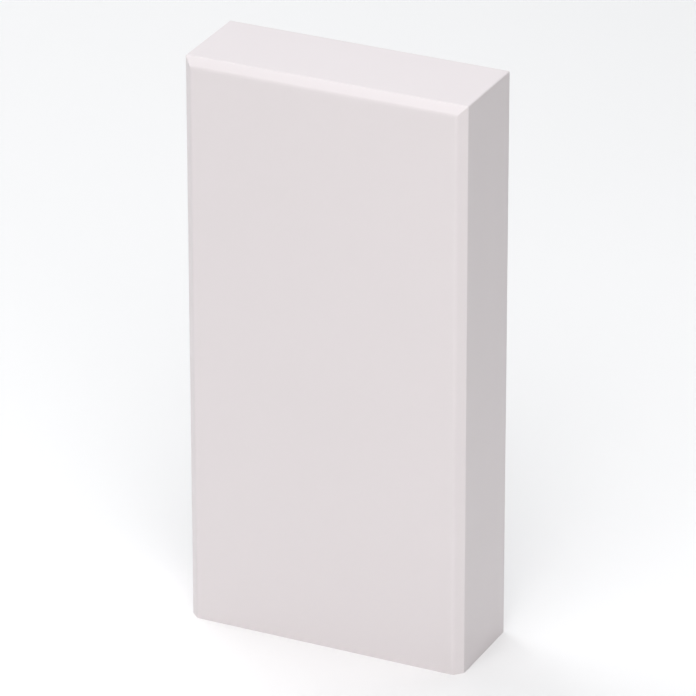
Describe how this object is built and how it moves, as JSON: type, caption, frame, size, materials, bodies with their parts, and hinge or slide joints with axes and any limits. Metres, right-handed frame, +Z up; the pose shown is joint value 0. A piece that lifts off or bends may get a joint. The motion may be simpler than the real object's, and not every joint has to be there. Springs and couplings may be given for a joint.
{
  "type": "plinth block",
  "caption": "Upright rectangular trim block, bevelled round the left, top and right of its front face, that stands at the foot of a door casing and stops the skirting.",
  "frame": {"origin": "middle of the base, on the floor that the block stands on", "axes": "+X along the width, +Y from the bevelled front face to the flat back, +Z up along the height"},
  "size_m": [0.0984, 0.0344, 0.2],
  "materials": {
    "paint": "satin white primer over wood fibre board"
  },
  "bodies": {
    "root": {"plinth_block": "paint"}
  },
  "joints": []
}
